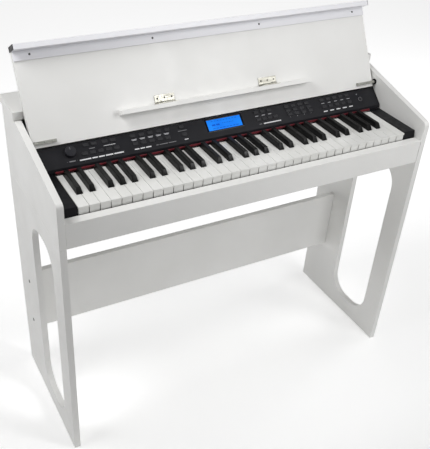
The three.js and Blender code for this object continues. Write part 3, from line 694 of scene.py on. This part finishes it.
def make_knob():
    """A round knob with a ribbed skirt and a dished top, and its pointer.

    Its profile is inset, height, depth of the ribs.
    """
    profile = (
        (0.1, 0.4, 0),
        (0, 0.8, 0),
        (0, 1.8, 0),
        (0.3, 2.2, 0.1),
        (0.4, 3, 0.45),
        (0.6, KNOB_HEIGHT - 1.8, 0.45),
        (0.9, KNOB_HEIGHT - 1, 0.1),
        (1.4, KNOB_HEIGHT - 0.3, 0),
        (2.1, KNOB_HEIGHT, 0),
        (2.9, KNOB_HEIGHT - 0.2, 0),
        (6, KNOB_HEIGHT - 0.6, 0),
        (9, KNOB_HEIGHT - 0.7, 0),
    )
    bm = bmesh.new()
    mm_tower(bm, [ribbed(KNOB_RADIUS - inset, z, depth) for inset, z, depth in profile])
    piece("volume_knob_cap", bm, KNOB_GREY, "volume_knob", ("volume_knob",), place=PANEL)
    bm = bmesh.new()
    middle = (KNOB[0], KNOB[1] + 6)
    mm_tower(bm, [rounded(1, 5, 0.4, KNOB_HEIGHT - drop, middle) for drop in (0.8, 0.1)])
    piece("volume_pointer", bm, GREY_INK, "volume_knob", place=PANEL)


def row_of_marks(bm, along, height, spans):
    """Printed bars at one height up the slope, each from x0 to x1."""
    for x0, x1 in spans:
        middle = ((x0 + x1) / 2, along)
        mm_tower(bm, [rounded(x1 - x0, height, height * 0.12, z, middle, 1) for z in MARK_HEIGHTS])


def spans_from(start, widths, gap):
    """Bars of these widths, one after another."""
    spans = []
    for width in widths:
        spans.append((start, start + width))
        start += width + gap
    return spans


def spans_under(bank, row, width):
    """One bar in line with each button of a bank's row."""
    _, first, pitch, count = BANKS[bank][row]
    middles = [first + i * pitch for i in range(count)]
    return [(middle - width / 2, middle + width / 2) for middle in middles]


def marks(name, material, rows):
    """Rows of printed bars in one ink. Each row is its height up the slope, the bars' height, the bars."""
    bm = bmesh.new()
    for along, height, spans in rows:
        row_of_marks(bm, along, height, spans)
    piece(name, bm, material, "cabinet", place=PANEL)


def make_marks():
    """Printed bars and dots that stand for the panel's labels, with no lettering."""
    marks("panel_marks_white", WHITE_INK, (
        (9.2, 2.8, spans_from(-364, (26, 12.5, 14, 17, 22.5), 2.5)),
        (9.2, 2.4, spans_from(-235.5, (11, 11, 13), 2.6)),
        (9.6, 1.8, [(-111, -101)]),
        (10, 2.4, [(104, 154)]),
        (9.8, 2.4, spans_under("buttons_record", 1, 12)),
        (31.4, 1, [(-302, -275)]),
        (13.2, 1.1, spans_under("buttons_number", 2, 1.1)),
    ))
    marks("panel_marks_pale", PALE_INK, (
        (32.4, 1.4, spans_under("buttons_style", 1, 13)),
        (30.4, 1.4, spans_under("buttons_style", 1, 10)),
        (31.6, 1.4, spans_under("buttons_record", 1, 9)),
        (31.4, 1.6, spans_under("buttons_song", 0, 9)),
    ))
    marks("panel_marks_grey", GREY_INK, (
        (31.4, 1.6, [(-336, -323)]),
        (31.4, 1.2, [(-121, -98)]),
        (9.4, 1.5, spans_from(-183, (6, 21, 19), 2)),
        (10, 1.6, [(92, 99)]),
        (25.3, 0.9, spans_under("buttons_number", 1, 1.2)),
        (10.5, 2.4, [(-387, -373)]),
        (10.5, 0.9, [(-391.5, -390.5), (-369.5, -368.5)]),
    ))


def display_loop(spread_x, spread_y, corner, z):
    """A rounded rectangle wider and higher than the display's window by these amounts."""
    width, height = DISPLAY_SIZE
    return rounded(width + spread_x, height + spread_y, corner, z, DISPLAY)


def make_display():
    """A glossy bezel, the lit window and its segments, and the lamp by the power button."""
    bm = bmesh.new()
    closed_ring(bm, [
        display_loop(9, 7, 2, 0.02),
        display_loop(8.4, 6.4, 1.7, 0.5),
        display_loop(1.2, 1.2, 0.9, 0.5),
        display_loop(0.4, 0.4, 0.5, 0.02),
    ])
    piece("display_bezel", bm, GLOSS_BLACK, "cabinet", place=PANEL)
    bm = bmesh.new()
    mm_tower(bm, [
        display_loop(0, 0, 0.4, -1.9),
        display_loop(0, 0, 0.4, -0.5),
        display_loop(-0.6, -0.6, 0.3, -0.3),
    ])
    piece("display_glass", bm, GLOW, "cabinet", ("display_window",), place=PANEL)
    bm = bmesh.new()
    for along, width, gap, height, count, start in SEGMENTS:
        for i in range(count):
            middle = (DISPLAY[0] + start + i * (width + gap) + width / 2, along)
            mm_tower(bm, [rounded(width, height, 0.3, z, middle, 1) for z in (-0.3, -0.22)])
    piece("display_segments", bm, BLUE_INK, "cabinet", place=PANEL)
    bm = bmesh.new()
    lamp = ((1.3, 0.02), (1.3, 0.5), (0.9, 0.9), (0.4, 1.05))
    mm_tower(bm, [circle(radius, z, 20, POWER_LAMP) for radius, z in lamp])
    piece("power_lamp", bm, LAMP, "cabinet", place=PANEL)


def closed_ring(bm, loops):
    """A ring-shaped body whose section runs through the loops and back to the first, in millimetres."""
    rings = [[bm.verts.new(point * MM) for point in loop] for loop in loops]
    for low, high in zip(rings, rings[1:] + rings[:1]):
        for i in range(len(low)):
            j = (i + 1) % len(low)
            bm.faces.new((low[i], low[j], high[j], high[i]))


# ---------------------------------------------------------------- felt
def make_felt():
    """A strip of felt with rounded upper edges and an uneven surface."""
    low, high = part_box("felt_strip")
    depth, height = high.y - low.y, high.z - low.z
    section = (
        (0, 0),
        (depth, 0),
        (depth, height - FELT_CORNER),
        (depth - FELT_CORNER, height),
        (FELT_CORNER, height),
        (0, height - FELT_CORNER),
        (0, height / 2),
    )
    loops = []
    for i in range(FELT_STEPS + 1):
        x = low.x + (high.x - low.x) * i / FELT_STEPS
        loop = []
        for y, z in section:
            point = Vector((x, low.y + y, low.z + z))
            swell = FELT_SWELL * noise.noise(point / FELT_CELL) if z > 0 and y < depth else 0
            shift_y = swell if z < height else 0
            shift_z = swell - FELT_SINK if z == height else 0
            loop.append(point + Vector((0, shift_y, shift_z)))
        loops.append(loop)
    bm = bmesh.new()
    tower(bm, loops)
    strip = piece("felt_damper", bm, FELT, "cabinet", ("felt_strip",))


# ---------------------------------------------------------------- fasteners
def cross(radius, arm, z):
    """A cross-shaped loop of 24 points."""
    corners = []
    for quarter in range(4):
        turn = Matrix.Rotation(quarter * math.pi / 2, 2)
        corners += [turn @ Vector((radius, -arm)), turn @ Vector((radius, arm)), turn @ Vector((arm, arm))]
    loop = []
    for i, corner in enumerate(corners):
        middle = (corner + corners[(i + 1) % len(corners)]) / 2
        loop += [Vector((*corner, z)), Vector((*middle, z))]
    return loop


def placed_tower(bm, loops, place):
    """A tower through loops in millimetres, moved by a matrix."""
    start = len(bm.verts)
    mm_tower(bm, loops)
    bm.verts.ensure_lookup_table()
    bmesh.ops.transform(bm, matrix=place, verts=bm.verts[start:])


def screw(bm, place, radius, height):
    """A low domed head with a cross recess, standing along the place's +Z."""
    head = [
        circle(radius, -0.6 * height),
        circle(radius, 0.25 * height),
        circle(0.8 * radius, 0.8 * height),
        circle(0.62 * radius, height),
    ]
    recess = [
        cross(0.5 * radius, 0.13 * radius, height),
        cross(0.42 * radius, 0.09 * radius, 0.2 * height),
    ]
    placed_tower(bm, head + recess, place)


def screws(name, places, radius, material, body, height=0.8):
    """Screws of the lid's frame, as one piece."""
    bm = bmesh.new()
    for place in places:
        screw(bm, place, radius, height)
    piece(name, bm, material, body, place=LID)


def at(x, y, z, turn):
    """A turn at a place in millimetres."""
    return Matrix.Translation(Vector((x, y, z)) * MM) @ turn


def make_lid_fasteners():
    """The screws of the lid's front strip and of its two hinge bars."""
    down = Matrix.Rotation(math.pi, 4, "X")
    flange_face = LID_INNER - GAP - FLANGE_THICKNESS
    places = [at(x, FLANGE_SCREW_Y, flange_face, down) for x in FLANGE_SCREWS]
    screws("strip_screws", places, 2.4, DARK_SCREW, "lid")
    bar_face = LID_INNER - GAP - BAR_THICKNESS
    bar_middle = LID_HALF - GAP - BAR_LENGTH / 2
    places = [at(side * (bar_middle + dx), 0, bar_face, down) for side in (-1, 1) for dx in HINGE_SCREWS]
    screws("hinge_bar_screws", places, 1.8, STEEL, "lid", 0.4)


def make_ledge_fasteners():
    """Three screws in each leaf of the ledge's two hinges."""
    leaf_face = LID_INNER - GAP - LEAF_THICKNESS
    down = Matrix.Rotation(math.pi, 4, "X")
    forward = Matrix.Rotation(math.pi / 2, 4, "X")
    for side, name in ((-1, "left"), (1, "right")):
        spots = [side * LEAF_OFFSET + dx for dx in HINGE_SCREWS]
        places = [at(x, LEAF_SCREW_Y, leaf_face, down) for x in spots]
        screws(f"leaf_screws_{name}", places, 2.1, DARK_SCREW, "lid", 0.5)
        places = [at(x, FLAP_SCREW_Y, FLAP_SCREW_Z, forward) for x in spots]
        screws(f"flap_screws_{name}", places, 2.1, DARK_SCREW, "music_ledge", 0.5)


def make_modesty_bolts():
    """Two sunk hexagon bolts through each leg into the ends of the modesty panel."""
    loops = [
        circle(4.6, -1),
        circle(4.6, 0.35),
        circle(4.2, 0.7),
        circle(2.4, 0.7),
        hexagon(2.2, 0.6),
        hexagon(2.2, -0.5),
    ]
    for side, name in ((-1, "left"), (1, "right")):
        turn = Matrix.Rotation(side * math.pi / 2, 4, "Y")
        bm = bmesh.new()
        for z in BOLT_HEIGHTS:
            placed_tower(bm, loops, at(side * BOLT_SIDE, BOLT_BACK + CABINET_FRONT / MM, z, turn))
        piece(f"modesty_bolts_{name}", bm, DARK_SCREW, "cabinet")


def hexagon(radius, z):
    """A hexagonal loop of 24 points."""
    corners = []
    for k in range(6):
        turn = k * math.pi / 3
        corners.append(Vector((radius * math.cos(turn), radius * math.sin(turn), z)))
    return [corners[k].lerp(corners[(k + 1) % 6], part / 4) for k in range(6) for part in range(4)]


def make_strip_end_shade():
    """Black caps on the ends of the lid's strip: painted shade that stands in for the shade inside the
    strip's hollow ends.
    """
    lip_end = LID_OVERHANG - LID_BOARD - LIP_THICKNESS
    lip_root = lip_end + LIP_THICKNESS - GAP
    lid_back = LID_INNER + LID_THICKNESS
    lip_edge = LID_INNER - LIP_DROP
    outline = [(lip_end, lid_back), (lip_end, lip_edge), (lip_root, lip_edge), (lip_root, lid_back)]
    for side, name in ((-1, "left"), (1, "right")):
        bm = bmesh.new()
        ends = sorted((side * LID_HALF, side * (LID_HALF + END_SHADE_THICKNESS)))
        mm_tower(bm, [[Vector((x, y, z)) for y, z in outline] for x in ends])
        piece(f"strip_end_shade_{name}", bm, BLACK, "lid", edge=0.3 * MM, place=LID)


# ---------------------------------------------------------------- carried-over CAD pieces
def dress_cad():
    """The CAD pieces that keep their shape, each with its finish and the radius of its edges."""
    for name in ("leg_left", "leg_right", "cheek_left", "cheek_right", "top_panel", "back_panel", "key_bed",
                 "front_rail", "modesty_panel", "lid_panel", "music_ledge"):
        dress(name, LAMINATE, 0.7 * MM)
    dress("lid_front_strip", STRIP, 0.6 * MM)
    for side in ("left", "right"):
        dress(f"lid_hinge_bar_{side}", STEEL, 0.4 * MM)
        dress(f"lid_hinge_bush_{side}", BLACK, 0.2 * MM)
        dress(f"ledge_hinge_leaf_{side}", BRASS, 0.15 * MM)
        dress(f"ledge_hinge_flap_{side}", BRASS, 0.15 * MM)
        dress(f"end_block_{side}", BLACK, 1 * MM)
        dress(f"speaker_{side}", CONE, 0.5 * MM)
    dress("keyboard_case", BLACK, 0.3 * MM)
    dress("control_panel", PANEL_BLACK, 0.25 * MM)
    dress("display_module", BLACK, 0.3 * MM)
    dress("circuit_board", CIRCUIT, 0.1 * MM)
    dress("power_inlet", BLACK, 0.4 * MM)


# ---------------------------------------------------------------- stage
def area_light(name, place, target, size, power):
    """A square white light that points at the target."""
    data = bpy.data.lights.new(name, "AREA")
    data.shape = "RECTANGLE"
    data.size = size
    data.size_y = size
    data.energy = power
    light = bpy.data.objects.new(name, data)
    light.location = place
    light.rotation_euler = (Vector(target) - Vector(place)).to_track_quat("-Z", "Y").to_euler()
    bpy.context.scene.collection.objects.link(light)


def make_stage():
    """A wide pale floor, a faint even light from all round and the six lights."""
    bm = bmesh.new()
    bmesh.ops.create_grid(bm, x_segments=8, y_segments=8, size=STAGE_HALF)
    mesh = bpy.data.meshes.new("floor")
    bm.to_mesh(mesh)
    bm.free()
    mesh.materials.append(stage_white())
    floor = bpy.data.objects.new("floor", mesh)
    bpy.context.scene.collection.objects.link(floor)
    world = bpy.data.worlds.new("studio")
    world.use_nodes = True
    background = world.node_tree.nodes["Background"]
    background.inputs["Color"].default_value = (1, 1, 1, 1)
    background.inputs["Strength"].default_value = WORLD_LIGHT
    bpy.context.scene.world = world
    for name, place, target, size, power in LIGHTS:
        area_light(name, place, target, size, power)
    bpy.context.scene.view_settings.view_transform = "Standard"


# ---------------------------------------------------------------- the whole
make_camera()
dress_cad()
make_keys()
make_buttons()
make_power_button()
make_knob()
make_display()
make_marks()
make_felt()
make_lid_fasteners()
make_ledge_fasteners()
make_modesty_bolts()
# black caps of painted shade on the hollow ends of the lid's strip
make_strip_end_shade()
make_stage()
